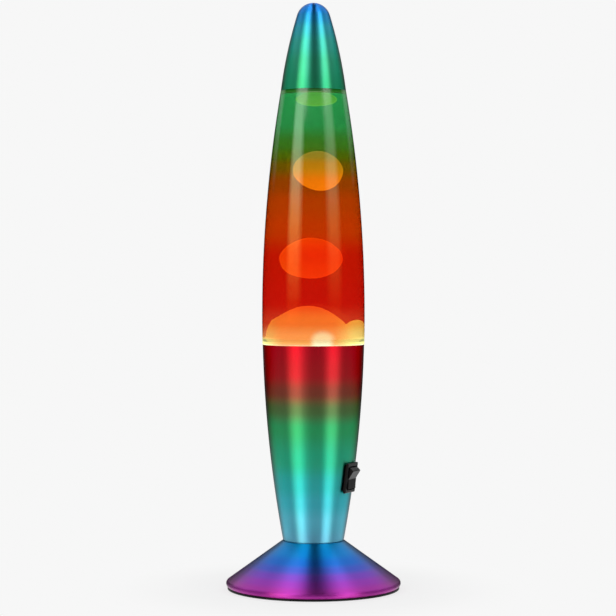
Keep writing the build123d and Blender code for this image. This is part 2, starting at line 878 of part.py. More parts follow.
def top_cap():
    """Spun nose: a long arc from the rim, tangent to a ball at the tip."""
    angle = math.radians(nose_angle)
    centre_z = tip_z - nose_radius
    touch = (nose_radius * math.cos(angle), centre_z + nose_radius * math.sin(angle))
    rim = (glass_radius(shelf_z), shelf_z)
    side = TangentArc(touch, rim, tangent=(math.sin(angle), -math.cos(angle)))
    ball = CenterArc((0, centre_z), nose_radius, nose_angle, 90 - nose_angle)
    closing = Polyline((0, tip_z), (0, shelf_z), rim)
    cap = turned(side + ball + closing)
    return offset(cap, -sheet, openings=cap.faces().sort_by(Axis.Z)[0])


pieces = {
    "foot_skirt": foot_skirt,
    "cord_gland": cord_gland,
    "base_cover": base_cover,
    "rubber_feet": rubber_feet,
    "tie_tube": tie_tube,
    "tube_nut": tube_nut,
    "tube_washers": tube_washers,
    "body_cup": body_cup,
    "switch_housing": switch_housing,
    "switch_terminals": switch_terminals,
    "switch_rocker": switch_rocker,
    "wire_terminal": wire_terminal,
    "link_wire": link_wire,
    "lampholder_base": lampholder_base,
    "lampholder_insert": lampholder_insert,
    "lampholder_body": lampholder_body,
    "lampholder_shell": lampholder_shell,
    "centre_contact": centre_contact,
    "terminal_screws": terminal_screws,
    "bulb_tip_contact": bulb_tip_contact,
    "bulb_insulator": bulb_insulator,
    "bulb_screw_cap": bulb_screw_cap,
    "bulb_glass": bulb_glass,
    "bulb_stem": bulb_stem,
    "bulb_filament": bulb_filament,
    "glass_bottle": glass_bottle,
    "crown_liner": crown_liner,
    "crown_cork": crown_cork,
    "wax_coil": wax_coil,
    "wax_mound": wax_mound,
    "wax_blob_lower": wax_blob_lower,
    "wax_blob_upper": wax_blob_upper,
    "wax_blob_top": wax_blob_top,
    "liquid": liquid,
    "top_cap": top_cap,
}

os.makedirs("parts", exist_ok=True)
for node, make in pieces.items():
    shape = make()
    export_step(shape, f"parts/{node}.step")
    print(node, "volume", round(shape.volume, 1))
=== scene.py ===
# %% [markdown]
# A liquid motion lamp, dressed for a photograph.
# The lamp's construction comes packed, with every piece in its place, and this lesson gives
# it its looks: lacquered metal, tinted glass, glowing wax and the small parts inside.
# The first step loads that frame.

# %% Load the frame
import math

import bpy
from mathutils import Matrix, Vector


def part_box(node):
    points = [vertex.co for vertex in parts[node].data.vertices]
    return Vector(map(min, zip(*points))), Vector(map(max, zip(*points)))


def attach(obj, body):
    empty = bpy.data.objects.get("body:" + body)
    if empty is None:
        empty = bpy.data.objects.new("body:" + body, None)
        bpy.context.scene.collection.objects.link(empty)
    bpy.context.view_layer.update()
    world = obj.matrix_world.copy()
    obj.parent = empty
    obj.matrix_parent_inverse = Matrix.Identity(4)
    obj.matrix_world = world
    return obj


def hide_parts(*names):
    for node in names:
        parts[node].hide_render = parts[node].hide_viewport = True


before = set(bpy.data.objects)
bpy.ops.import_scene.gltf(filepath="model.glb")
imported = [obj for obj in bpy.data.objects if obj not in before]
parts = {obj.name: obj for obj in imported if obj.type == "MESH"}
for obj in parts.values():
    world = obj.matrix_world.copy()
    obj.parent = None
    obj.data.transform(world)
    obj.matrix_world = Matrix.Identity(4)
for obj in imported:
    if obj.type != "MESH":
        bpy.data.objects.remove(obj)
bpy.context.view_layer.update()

# %% [markdown]
# Sizes are written in metres, with MM for what is easier to read in millimetres.
# The heights where the lamp's stages meet are read from the frame's own boxes, so that every
# finish follows the construction if it is packed again with another size.

# %% Read the lamp's heights
MM = 0.001
platform_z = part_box("foot_skirt")[1].z
mouth_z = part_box("body_cup")[1].z
shelf_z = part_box("top_cap")[0].z
tip_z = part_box("top_cap")[1].z
hem_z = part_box("foot_skirt")[0].z
print("platform", round(platform_z, 4), "mouth", round(mouth_z, 4), "shelf", round(shelf_z, 4))

# %% [markdown]
# The camera stands where the photographer's did: well over a metre away with a long lens, a
# little above the middle of the lamp and looking slightly down, so that the seam and the hem
# curve gently. A long lens from far away keeps the tall outline nearly free of perspective.

# %% Camera
CAMERA_PLACE = Vector((-3.8 * MM, -1.418, 0.2232))
AIM_HEIGHT = 0.197
FOCAL_LENGTH = 118.4
camera_data = bpy.data.cameras.new("camera")
camera = bpy.data.objects.new("camera", camera_data)
bpy.context.scene.collection.objects.link(camera)
camera.location = CAMERA_PLACE
aim = Vector((CAMERA_PLACE.x, 0, AIM_HEIGHT)) - CAMERA_PLACE
camera.rotation_euler = aim.to_track_quat("-Z", "Y").to_euler()
camera_data.lens = FOCAL_LENGTH
bpy.context.scene.camera = camera
bpy.context.scene.view_settings.view_transform = "Standard"
print("camera looks down by", round(math.degrees(math.atan2(-aim.z, aim.y)), 2), "degrees")


# %% [markdown]
# Materials are built from nodes. These helpers keep the later cells short: each adds one kind
# of node and gives back its output. A value may be a number, a colour or another node's
# output, and feed knows how to give each of them to an input.

# %% Node helpers
def add(tree, kind, **fields):
    """Adds a node and sets its fields."""
    node = tree.nodes.new(kind)
    for name, value in fields.items():
        setattr(node, name, value)
    return node


def join(tree, source, target):
    tree.links.new(source, target)


def feed(tree, value, target):
    """Gives an input its value."""
    if isinstance(value, bpy.types.NodeSocket):
        join(tree, value, target)
    else:
        target.default_value = value


def math_node(tree, operation, first, second):
    """A sum of two values."""
    node = add(tree, "ShaderNodeMath", operation=operation)
    for i, value in enumerate((first, second)):
        feed(tree, value, node.inputs[i])
    return node.outputs["Value"]


def combine(tree, operation, first, second):
    """A sum of two colours or places."""
    node = add(tree, "ShaderNodeVectorMath", operation=operation)
    for i, value in enumerate((first, second)):
        feed(tree, value, node.inputs[i])
    return node.outputs["Vector"]


def scaled(tree, colour, factor):
    """A colour times one value."""
    node = add(tree, "ShaderNodeVectorMath", operation="SCALE")
    feed(tree, colour, node.inputs[0])
    feed(tree, factor, node.inputs["Scale"])
    return node.outputs["Vector"]


def length_of(tree, vector):
    node = add(tree, "ShaderNodeVectorMath", operation="LENGTH")
    join(tree, vector, node.inputs[0])
    return node.outputs["Value"]


def object_place(tree):
    """A point's own place on its object."""
    return add(tree, "ShaderNodeTexCoord").outputs["Object"]


def split_axes(tree, vector):
    """The X, Y and Z of a vector."""
    node = add(tree, "ShaderNodeSeparateXYZ")
    join(tree, vector, node.inputs["Vector"])
    return node.outputs


def map_span(tree, value, low, high, start=0.0, end=1.0, kind="LINEAR"):
    """A value that goes from start to end while another goes from low to high."""
    node = add(tree, "ShaderNodeMapRange", interpolation_type=kind)
    given = {"Value": value, "From Min": low, "From Max": high, "To Min": start, "To Max": end}
    for socket, number in given.items():
        feed(tree, number, node.inputs[socket])
    return node.outputs["Result"]


def blend_colours(tree, factor, first, second, **fields):
    """A mix of two colours, each a socket or four numbers."""
    node = add(tree, "ShaderNodeMix", data_type="RGBA", **fields)
    for socket, value in (("Factor", factor), ("A", first), ("B", second)):
        feed(tree, value, node.inputs[socket])
    return node.outputs["Result"]


def noise_at(tree, scale, detail=3.0):
    """Noise over the object's own place."""
    node = add(tree, "ShaderNodeTexNoise")
    feed(tree, scale, node.inputs["Scale"])
    node.inputs["Detail"].default_value = detail
    join(tree, object_place(tree), node.inputs["Vector"])
    return node.outputs["Fac"]


# %% [markdown]
# A colour ramp is the painter's tool of this lesson: it lays the bands of lacquer over a
# height, the boards round the lamp and the glow over the wax. The helpers lay one over any
# value from 0 to 1, in colours or greys, and over the height on the object.

# %% Ramps
def colour_ramp(tree, value, stops, blend="LINEAR"):
    """Colours over a value from 0 to 1. Each stop is a position and a linear colour."""
    node = add(tree, "ShaderNodeValToRGB")
    join(tree, value, node.inputs["Fac"])
    node.color_ramp.interpolation = blend
    elements = node.color_ramp.elements
    for i, (position, colour) in enumerate(stops):
        element = elements[i] if i < 2 else elements.new(position)
        element.position = position
        element.color = (*colour, 1)
    return node.outputs["Color"]


def level_ramp(tree, value, stops):
    """Greys over a value from 0 to 1. Each stop is a position and a level."""
    return colour_ramp(tree, value, [(position, (level,) * 3) for position, level in stops])


def height_ramp(tree, stops):
    """Colours over Object Z. Each stop is a height in metres and a linear colour."""
    low, high = stops[0][0], stops[-1][0]
    share = map_span(tree, split_axes(tree, object_place(tree))["Z"], low, high)
    placed = [((height - low) / (high - low), colour) for height, colour in stops]
    return colour_ramp(tree, share, placed, "EASE")


# %% [markdown]
# A finish is a Principled shader with constant values, to which groups and a bump are added.
# A carried-over piece gets it through its object's material slot, so its mesh stays as it is.

# %% Material helpers
def new_material(name, **values):
    """A material whose Principled shader has these constant values."""
    material = bpy.data.materials.new(name)
    material.use_nodes = True
    shader = material.node_tree.nodes["Principled BSDF"]
    for socket, value in values.items():
        shader.inputs[socket.replace("_", " ")].default_value = value
    return material, material.node_tree, shader


def new_group(name, inputs, outputs):
    """An empty shader group. A socket with four numbers is a colour, and one with one a level."""
    group = bpy.data.node_groups.new(name, "ShaderNodeTree")
    for side, sockets in (("INPUT", inputs), ("OUTPUT", outputs)):
        for label, value in sockets.items():
            kind = "NodeSocketColor" if isinstance(value, tuple) else "NodeSocketFloat"
            socket = group.interface.new_socket(label, in_out=side, socket_type=kind)
            socket.default_value = value
    return group, add(group, "NodeGroupInput"), add(group, "NodeGroupOutput")


def use_group(tree, group, **values):
    """Adds a group to a material and sets its inputs."""
    node = add(tree, "ShaderNodeGroup", node_tree=group)
    for label, value in values.items():
        node.inputs[label].default_value = value
    return node


def add_bump(tree, shader, height, depth):
    """Gives a shader a relief of a depth in metres."""
    bump = add(tree, "ShaderNodeBump")
    bump.inputs["Distance"].default_value = depth
    join(tree, height, bump.inputs["Height"])
    join(tree, bump.outputs["Normal"], shader.inputs["Normal"])


def wear(node, material):
    """Gives a carried-over piece its finish."""
    piece = parts[node]
    if not piece.data.materials:
        piece.data.materials.append(None)
    slot = piece.material_slots[0]
    slot.link = "OBJECT"
    slot.material = material


# %% [markdown]
# The studio is a pale floor that fades into a white surround, which is what the camera sees
# and what shows through the glass. Lacquered metal is a mirror, though, and looks like what
# stands round it. So the world answers glossy rays with a photographer's set: white boards
# with black cloth between them. A ray's turn round the lamp picks the board, and its rise,
# from 0 straight down to 1 straight up, picks the zone.

# %% Directions round the lamp
WHITE = 0.93
ROOM_LIGHT = 0.5
BOARD_LIGHT = 4.0
world = bpy.data.worlds.new("studio")
bpy.context.scene.world = world
world.use_nodes = True
tree = world.node_tree
tree.nodes.clear()


def from_middle(tree, value):
    """A value from -1 to 1, made one from 0 to 1."""
    return math_node(tree, "ADD", math_node(tree, "MULTIPLY", value, 0.5), 0.5)


def round_ramp(tree, turn, stops):
    """Levels round the lamp, with each stop's angle in degrees from the front."""
    return level_ramp(tree, turn, [(0.5 + degrees / 360, level) for degrees, level in stops])


ray = split_axes(tree, add(tree, "ShaderNodeTexCoord").outputs["Generated"])
angle = math_node(tree, "ARCTAN2", ray["X"], math_node(tree, "MULTIPLY", ray["Y"], -1.0))
turn = math_node(tree, "ADD", math_node(tree, "DIVIDE", angle, 2 * math.pi), 0.5)
rise = from_middle(tree, ray["Z"])
aside = from_middle(tree, ray["X"])
print("world: white", WHITE, "room light", ROOM_LIGHT, "boards", BOARD_LIGHT)

# %% [markdown]
# Each metal part leans its own way, so each mirrors a zone of its own. The cup widens upwards
# and looks a little down, at the low boards, and its lower part also at a dim patch in front.
# The cap narrows upwards and looks a little up, at the high boards, which the foot's sides
# mirror too. The foot's front looks steeply up, at strips overhead. Dim boards at the rear
# keep the outlines of the glass from going black. A board's edge is a slope in the ramp and
# not a step, because a softbox fades towards its rim.

# %% Boards and zones
low_boards = round_ramp(tree, turn, [
    (-180, 0.35), (-150, 0.5), (-128, 0.6), (-106, 0.48), (-76, 0.38), (-68, 0.45), (-58, 0.85),
    (-46, 1.12), (-34, 0.92), (-22, 0.42), (-10, 0.24), (8, 0.23), (26, 0.3), (36, 0.85),
    (46, 1.15), (58, 1.05), (68, 0.5), (78, 0.38), (106, 0.46), (128, 0.6), (150, 0.52),
    (180, 0.35),
])
high_boards = round_ramp(tree, turn, [
    (-180, 0.45), (-154, 0.45), (-147, 0.32), (-139, 0.34), (-122, 0.54), (-96, 0.36),
    (-76, 0.22), (-57, 0.3), (-49, 1.12), (-27, 1.12), (-17, 0.2), (-8, 0.06), (14, 0.05),
    (24, 0.06), (34, 0.45), (40, 1.16), (58, 1.12), (68, 0.34), (78, 0.24), (96, 0.36),
    (122, 0.56), (139, 0.34), (147, 0.32), (154, 0.45), (180, 0.45),
])
rear_boards = round_ramp(tree, turn, [
    (-180, 0.14), (-125, 0.14), (-115, 0.0), (115, 0.0), (125, 0.14), (180, 0.14),
])
front_patch = round_ramp(tree, turn, [
    (-28, 0.0), (-14, 0.3), (14, 0.3), (28, 0.02), (32, 0.0),
])
strips = level_ramp(tree, aside, [
    (0.0, 0.4), (0.33, 0.42), (0.36, 0.66), (0.4, 0.92), (0.43, 0.6), (0.465, 0.05),
    (0.53, 0.04), (0.58, 0.1), (0.61, 0.6), (0.65, 0.7), (0.68, 0.42), (1.0, 0.4),
])
zones = [
    (low_boards, [(0.05, 0.7), (0.24, 1.0), (0.38, 1.0), (0.453, 0.0)]),
    (high_boards, [(0.67, 0.0), (0.7, 1.0), (0.86, 1.0), (0.93, 0.0)]),
    (rear_boards, [(0.56, 0.0), (0.6, 1.0), (0.67, 1.0), (0.7, 0.0)]),
    (front_patch, [(0.33, 1.0), (0.37, 0.0)]),
    (strips, [(0.86, 0.0), (0.93, 1.0)]),
]
walls = 0.0
for boards, zone in zones:
    lit = math_node(tree, "MULTIPLY", boards, level_ramp(tree, rise, zone))
    walls = math_node(tree, "ADD", walls, lit)
print("boards in", len(zones), "zones")

# %% [markdown]
# The glass stands nearly upright and mirrors the zone between the low and the high boards. Its
# lacquer lies on the outside and tints even the gloss, from deep red low down to pale green
# at the shoulder. These two boards carry that tint themselves, and no metal part needs them.

# %% Warm boards for the glass
glass_boards = round_ramp(tree, turn, [
    (-66, 0.0), (-56, 1.0), (-38, 1.0), (-26, 0.0), (28, 0.0), (42, 0.5), (58, 0.5), (70, 0.0),
])
warm = colour_ramp(tree, rise, [
    (0.455, (0, 0, 0)), (0.475, (0.12, 0.008, 0)), (0.5, (0.45, 0.07, 0.005)),
    (0.545, (1.0, 0.45, 0.08)), (0.576, (1.3, 0.85, 0.22)), (0.619, (1.2, 1.25, 0.7)),
    (0.65, (1.0, 1.4, 1.0)), (0.67, (1.0, 1.4, 1.0)), (0.7, (0, 0, 0)),
])
room = combine(tree, "ADD", walls, combine(tree, "MULTIPLY", glass_boards, warm))
room = scaled(tree, room, BOARD_LIGHT)
print("two warm boards for the glass")

# %% [markdown]
# Last, the kind of ray decides what the world shows: white to the camera and through the
# glass, the boards to a glossy ray, and an even grey to all others, which fills the shadows.

# %% The world's shader
rays = add(tree, "ShaderNodeLightPath").outputs
seen = math_node(tree, "MAXIMUM", rays["Is Camera Ray"], rays["Is Transmission Ray"])
even = (ROOM_LIGHT, ROOM_LIGHT, ROOM_LIGHT, 1)
mirrored = blend_colours(tree, rays["Is Glossy Ray"], even, room)
shown = blend_colours(tree, seen, mirrored, (WHITE, WHITE, WHITE, 1))
background = add(tree, "ShaderNodeBackground")
join(tree, shown, background.inputs["Color"])
background.inputs["Strength"].default_value = 1
output = add(tree, "ShaderNodeOutputWorld")
join(tree, background.outputs["Background"], output.inputs["Surface"])
print("world", world.name, "with", len(tree.nodes), "nodes")


# %% [markdown]
# Two soft lamps, left and right in front, and a third overhead shape what isn't a mirror: the
# wax, the plastic and the shadow on the floor. The boards already stand for them in the
# mirrors, so they are hidden from glossy rays, from the camera and through the glass.

# %% Soft lamps
def softbox(name, place, target, width, height, brightness):
    """A soft rectangular lamp. Its power follows from how bright its face should look."""
    data = bpy.data.lights.new(name, "AREA")
    data.shape = "RECTANGLE"
    data.size = width
    data.size_y = height
    data.energy = brightness * math.pi * width * height
    lamp = bpy.data.objects.new(name, data)
    bpy.context.scene.collection.objects.link(lamp)
    lamp.location = place
    lamp.rotation_euler = (Vector(target) - Vector(place)).to_track_quat("-Z", "Y").to_euler()
    lamp.visible_camera = False
    lamp.visible_glossy = False
    lamp.visible_transmission = False
    print(name, "power", round(data.energy, 1), "W")


softbox("left_box", (-0.9, -1.07, 0.8), (0, 0, 0.2), 0.78, 1.6, 1.6)
softbox("right_box", (1.07, -0.9, 0.8), (0, 0, 0.2), 0.72, 1.6, 1.4)
softbox("top_box", (0, 0.3, 1.5), (0, 0, 0), 1.0, 1.0, 1.0)

# %% [markdown]
# The floor is a disc. Near the lamp it is a real, lit surface that keeps the soft shadow, and
# further out it turns into the same white as the surround, so that no edge shows. The
# primitive is inset once, so that the wide disc isn't one single face.

# %% Floor
FLOOR_RADIUS = 3.0
INSET_SHARE = 0.6
FADE_START, FADE_END = 0.06, 0.15
FADE_AT_LAMP = 0.8
bpy.ops.object.select_all(action="DESELECT")
bpy.ops.mesh.primitive_circle_add(vertices=96, radius=FLOOR_RADIUS, fill_type="NGON")
floor = bpy.context.active_object
floor.name = "floor"
bpy.ops.object.mode_set(mode="EDIT")
bpy.ops.mesh.inset(thickness=FLOOR_RADIUS * INSET_SHARE)
bpy.ops.object.mode_set(mode="OBJECT")
floor.visible_glossy = False
material, tree, shader = new_material(
    "floor_paper", Base_Color=(0.86, 0.86, 0.86, 1), Roughness=0.9
)
distance = length_of(tree, object_place(tree))
fade = map_span(tree, distance, FADE_START, FADE_END, FADE_AT_LAMP, kind="SMOOTHSTEP")
glow = add(tree, "ShaderNodeEmission")
glow.inputs["Color"].default_value = (WHITE, WHITE, WHITE, 1)
blend = add(tree, "ShaderNodeMixShader")
join(tree, fade, blend.inputs["Fac"])
join(tree, shader.outputs["BSDF"], blend.inputs[1])
join(tree, glow.outputs["Emission"], blend.inputs[2])
join(tree, blend.outputs["Shader"], tree.nodes["Material Output"].inputs["Surface"])
floor.data.materials.append(material)
print("floor radius", FLOOR_RADIUS)


# %% [markdown]
# Spun metal carries fine rings from the tool that pressed it on the lathe. They follow the
# wall, so the pattern runs along height plus a share of the radius: the share is nothing on
# the upright cup and larger on the sloping foot. The group gives the rings' height, a faint
# change of tone, and the roughness, which handling makes uneven.

# %% Turned rings, a group
FINE_RINGS, BROAD_RINGS = 2600, 420
SMUDGES = 55


def noise_line(tree, value, scale, detail=2.0):
    """Noise that changes along one value only."""
    node = add(tree, "ShaderNodeTexNoise", noise_dimensions="1D")
    node.inputs["Scale"].default_value = scale
    node.inputs["Detail"].default_value = detail
    join(tree, value, node.inputs["W"])
    return node.outputs["Fac"]


tree, start, end = new_group(
    "turned_rings",
    {"Slope": 0.0, "Roughness": 0.4, "Spread": 0.1, "Tone": 0.1},
    {"Height": 0.0, "Tone": 0.0, "Roughness": 0.0},
)
rings_group, given = tree, start.outputs
axes = split_axes(tree, object_place(tree))
flat = add(tree, "ShaderNodeCombineXYZ")
join(tree, axes["X"], flat.inputs["X"])
join(tree, axes["Y"], flat.inputs["Y"])
radius = length_of(tree, flat.outputs["Vector"])
along = math_node(tree, "ADD", axes["Z"], math_node(tree, "MULTIPLY", radius, given["Slope"]))
mixed = 0.0
for scale, share in ((FINE_RINGS, 0.6), (BROAD_RINGS, 0.4)):
    layer = math_node(tree, "MULTIPLY", noise_line(tree, along, scale), share)
    mixed = math_node(tree, "ADD", mixed, layer)
centred = math_node(tree, "SUBTRACT", mixed, 0.5)
tone = math_node(tree, "ADD", math_node(tree, "MULTIPLY", centred, given["Tone"]), 1.0)
uneven = math_node(tree, "SUBTRACT", noise_at(tree, SMUDGES), 0.5)
uneven = math_node(tree, "ADD", uneven, math_node(tree, "MULTIPLY", centred, 0.5))
uneven = math_node(tree, "MULTIPLY", uneven, given["Spread"])
uneven = math_node(tree, "ADD", uneven, given["Roughness"])
for label, value in (("Height", mixed), ("Tone", tone), ("Roughness", uneven)):
    join(tree, value, end.inputs[label])
print("group", rings_group.name, "with", len(tree.nodes), "nodes")


# %% [markdown]
# The cup, the foot and the cap are the same bare spun aluminium under a see-through coloured
# lacquer, sprayed in bands that run into each other. A fully metallic shader with a colour
# ramp over the height gives the bands, and an anisotropic highlight stretches its reflections
# along the wall, as fine rings do. The lacquer's own gloss is the shader's coat.

# %% Rainbow lacquer
def rainbow_lacquer(name, stops, slope, roughness, coat, edge):
    """Bands over the height. The edge is how white a grazing view gets, 1 for bare metal."""
    material, tree, shader = new_material(
        name,
        Metallic=1.0,
        Specular_Tint=(edge, edge, edge, 1),
        Anisotropic=0.95,
        Anisotropic_Rotation=0.25,
        Coat_Weight=coat,
        Coat_Roughness=0.12,
    )
    rings = use_group(tree, rings_group, Slope=slope, Roughness=roughness)
    colour = scaled(tree, height_ramp(tree, stops), rings.outputs["Tone"])
    join(tree, colour, shader.inputs["Base Color"])
    join(tree, rings.outputs["Roughness"], shader.inputs["Roughness"])
    add_bump(tree, shader, rings.outputs["Height"], 0.01 * MM)
    tangent = add(tree, "ShaderNodeTangent", direction_type="RADIAL", axis="Z")
    join(tree, tangent.outputs["Tangent"], shader.inputs["Tangent"])
    print("lacquer", name, "with", len(stops), "bands")
    return material


cup_bands = [
    (platform_z, (0.10, 0.37, 0.50)),
    (platform_z + 14 * MM, (0.07, 0.37, 0.47)),
    (platform_z + 28 * MM, (0.025, 0.34, 0.40)),
    (platform_z + 40 * MM, (0.010, 0.32, 0.31)),
    (platform_z + 58 * MM, (0.007, 0.30, 0.165)),
    (platform_z + 80 * MM, (0.015, 0.26, 0.085)),
    (platform_z + 93 * MM, (0.06, 0.12, 0.035)),
    (platform_z + 105 * MM, (0.18, 0.035, 0.02)),
    (platform_z + 118 * MM, (0.34, 0.010, 0.014)),
    (mouth_z, (0.39, 0.006, 0.014)),
]
foot_bands = [
    (hem_z, (0.27, 0.02, 0.20)),
    (hem_z + 5 * MM, (0.28, 0.024, 0.27)),
    (hem_z + 9 * MM, (0.22, 0.03, 0.32)),
    (hem_z + 13 * MM, (0.14, 0.045, 0.37)),
    (hem_z + 17 * MM, (0.045, 0.075, 0.41)),
    (hem_z + 21 * MM, (0.010, 0.11, 0.44)),
    (hem_z + 27 * MM, (0.003, 0.16, 0.44)),
    (platform_z, (0.003, 0.18, 0.40)),
]
cap_bands = [
    (shelf_z, (0.02, 0.29, 0.14)),
    (shelf_z + 18 * MM, (0.025, 0.30, 0.17)),
    (shelf_z + 32 * MM, (0.025, 0.31, 0.25)),
    (shelf_z + 42 * MM, (0.02, 0.28, 0.34)),
    (shelf_z + 50 * MM, (0.008, 0.21, 0.42)),
    (shelf_z + 56 * MM, (0.003, 0.14, 0.44)),
    (tip_z, (0.002, 0.11, 0.42)),
]
wear("body_cup", rainbow_lacquer("cup_lacquer", cup_bands, 0.0, 0.42, 0.2, 0.35))
wear("foot_skirt", rainbow_lacquer("foot_lacquer", foot_bands, 0.8, 0.42, 0.06, 0.7))
wear("top_cap", rainbow_lacquer("cap_lacquer", cap_bands, 0.3, 0.34, 0.2, 0.4))

# %% [markdown]
# The bottle is clear glass with a see-through lacquer sprayed on its outside. Light is tinted
# once at the near wall and again at the far one, so what stands behind the bottle looks twice
# as deep in colour as the wax inside it. The tint fades out at the lower edge.
# Glass also pipes light: what enters at the heel, from the bulb, comes out where the wall
# ends. So the lip glows as a thin bright line, strongest at the two sides where the eye looks
# along the wall, and the shoulder under the cap glows faintly. Emission stands for that. It
# stops just below the lip, so that the heel stays plain glass when the bottle is lifted.

# %% Tinted glass
glass_bands = [
    (mouth_z - 1 * MM, (0.97, 0.80, 0.60)),
    (mouth_z + 6 * MM, (0.94, 0.52, 0.30)),
    (mouth_z + 16 * MM, (0.82, 0.18, 0.09)),
    (mouth_z + 30 * MM, (0.78, 0.065, 0.03)),
    (mouth_z + 60 * MM, (0.76, 0.07, 0.012)),
    (mouth_z + 80 * MM, (0.74, 0.18, 0.006)),
    (mouth_z + 98 * MM, (0.68, 0.20, 0.006)),
    (mouth_z + 112 * MM, (0.55, 0.21, 0.006)),
    (mouth_z + 124 * MM, (0.38, 0.29, 0.01)),
    (mouth_z + 131 * MM, (0.25, 0.35, 0.03)),
    (mouth_z + 138 * MM, (0.19, 0.42, 0.09)),
    (mouth_z + 154 * MM, (0.13, 0.53, 0.24)),
    (shelf_z, (0.13, 0.57, 0.26)),
]
ring_glow = [
    (mouth_z - 1.6 * MM, (0, 0, 0)),
    (mouth_z - 0.9 * MM, (0.06, 0.08, 0.12)),
    (mouth_z + 0.1 * MM, (0.06, 0.08, 0.12)),
    (mouth_z + 0.9 * MM, (0.01, 0.015, 0.01)),
    (mouth_z + 2.0 * MM, (0, 0, 0)),
    (shelf_z - 3.2 * MM, (0, 0, 0)),
    (shelf_z - 2.2 * MM, (0.02, 0.07, 0.01)),
    (shelf_z - 1.0 * MM, (0.01, 0.05, 0.01)),
    (shelf_z, (0, 0.01, 0)),
]
side_glow = [
    (mouth_z - 2.0 * MM, (0, 0, 0)),
    (mouth_z - 0.5 * MM, (0.22, 0.23, 0.10)),
    (mouth_z + 3.5 * MM, (0.22, 0.22, 0.08)),
    (mouth_z + 6.5 * MM, (0, 0, 0)),
    (shelf_z, (0, 0, 0)),
]
SIDE_POWER = 2.0
SIDE_GAIN = 3.2
material, tree, shader = new_material(
    "lacquered_glass", Transmission_Weight=1.0, IOR=1.5, Roughness=0.02, Emission_Strength=1.0
)
join(tree, height_ramp(tree, glass_bands), shader.inputs["Base Color"])
grazing = add(tree, "ShaderNodeLayerWeight").outputs["Facing"]
piped = math_node(tree, "POWER", grazing, SIDE_POWER)
piped = math_node(tree, "MULTIPLY", piped, SIDE_GAIN)
sides = scaled(tree, height_ramp(tree, side_glow), piped)
glow = combine(tree, "ADD", height_ramp(tree, ring_glow), sides)
join(tree, glow, shader.inputs["Emission Color"])
wear("glass_bottle", material)
print("glass tint with", len(glass_bands), "bands")


# %% [markdown]
# A modelled piece is opened in edit mode, shaped with Blender's own tools, and closed.

# %% Open and close a piece
SMOOTH_ANGLE = math.radians(35)


def deselect():
    bpy.ops.object.select_all(action="DESELECT")


def edit_mode():
    bpy.ops.object.mode_set(mode="EDIT")


def object_mode():
    bpy.ops.object.mode_set(mode="OBJECT")


def start_piece(name):
    """Names the object that was just added and opens it in edit mode."""
    piece = bpy.context.active_object
    piece.name = name
    piece.data.name = name
    edit_mode()
    return piece


def end_piece(piece, body, material, replaces=()):
    """Leaves edit mode, puts the object at the origin, and says what the piece is."""
    if bpy.context.mode != "OBJECT":
        object_mode()
    deselect()
    piece.select_set(True)
    bpy.context.view_layer.objects.active = piece
    bpy.ops.object.transform_apply(location=True, rotation=True, scale=True)
    bpy.ops.object.shade_smooth_by_angle(angle=SMOOTH_ANGLE)
    piece.data.materials.clear()
    piece.data.materials.append(material)
    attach(piece, body)
    if replaces:
        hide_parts(*replaces)
    print("made", piece.name, "with", len(piece.data.vertices), "points")
    return piece


# %% [markdown]
# Most of the lamp is round, so most pieces start as an outline of radius and height: a chain
# of points, extruded one after the other and spun round the axis, as a lathe follows its
# template. Points are picked by a test, and modifiers are applied as soon as they are set.

# %% Shape a piece
def select_points(piece, test):
    """Selects the points of a piece that pass a test, and leaves it in edit mode."""
    edit_mode()
    bpy.ops.mesh.select_all(action="DESELECT")
    object_mode()
    for vertex in piece.data.vertices:
        vertex.select = test(vertex.co)
    edit_mode()


def spin_outline(name, outline, steps=96):
    """Spins an outline round Z, merges the seam and the poles, and turns the faces outwards."""
    deselect()
    bpy.ops.mesh.primitive_plane_add(size=MM)
    piece = start_piece(name)
    bpy.ops.mesh.select_all(action="SELECT")
    bpy.ops.mesh.merge(type="CENTER")
    bpy.ops.transform.translate(value=(outline[0][0], 0, outline[0][1]))
    for (r0, z0), (r1, z1) in zip(outline, outline[1:]):
        step = (r1 - r0, 0, z1 - z0)
        bpy.ops.mesh.extrude_vertices_move(TRANSFORM_OT_translate={"value": step})
    bpy.ops.mesh.select_all(action="SELECT")
    bpy.ops.mesh.spin(steps=steps, angle=2 * math.pi, center=(0, 0, 0), axis=(0, 0, 1))
    bpy.ops.mesh.select_all(action="SELECT")
    bpy.ops.mesh.remove_doubles(threshold=0.01 * MM)
    bpy.ops.mesh.normals_make_consistent(inside=False)
    return piece


def join_pieces(main, *others):
    """Joins other pieces to a main one."""
    deselect()
    for piece in (*others, main):
        piece.select_set(True)
    bpy.context.view_layer.objects.active = main
    bpy.ops.object.join()


def apply_modifier(piece, kind, **fields):
    """Adds a modifier, sets its fields and applies it."""
    bpy.context.view_layer.objects.active = piece
    modifier = piece.modifiers.new(kind.lower(), kind)
    for name, value in fields.items():
        setattr(modifier, name, value)
    bpy.ops.object.modifier_apply(modifier=modifier.name)


def refine(piece):
    """Smooths a piece by one step of subdivision."""
    apply_modifier(piece, "SUBSURF", levels=1, render_levels=1)


def thicken(piece, sheet):
    """Gives a shell the thickness of its sheet, inwards."""
    apply_modifier(piece, "SOLIDIFY", thickness=sheet, offset=-1)


# %% [markdown]
# The bottle's outside is one long arc from the cup's mouth to the cap's rim. With the arc's
# radius and its two ends known, its centre follows, and with the centre the bottle's radius
# at every height. The inner wall lies one glass thickness inside, down to a rounded heel.

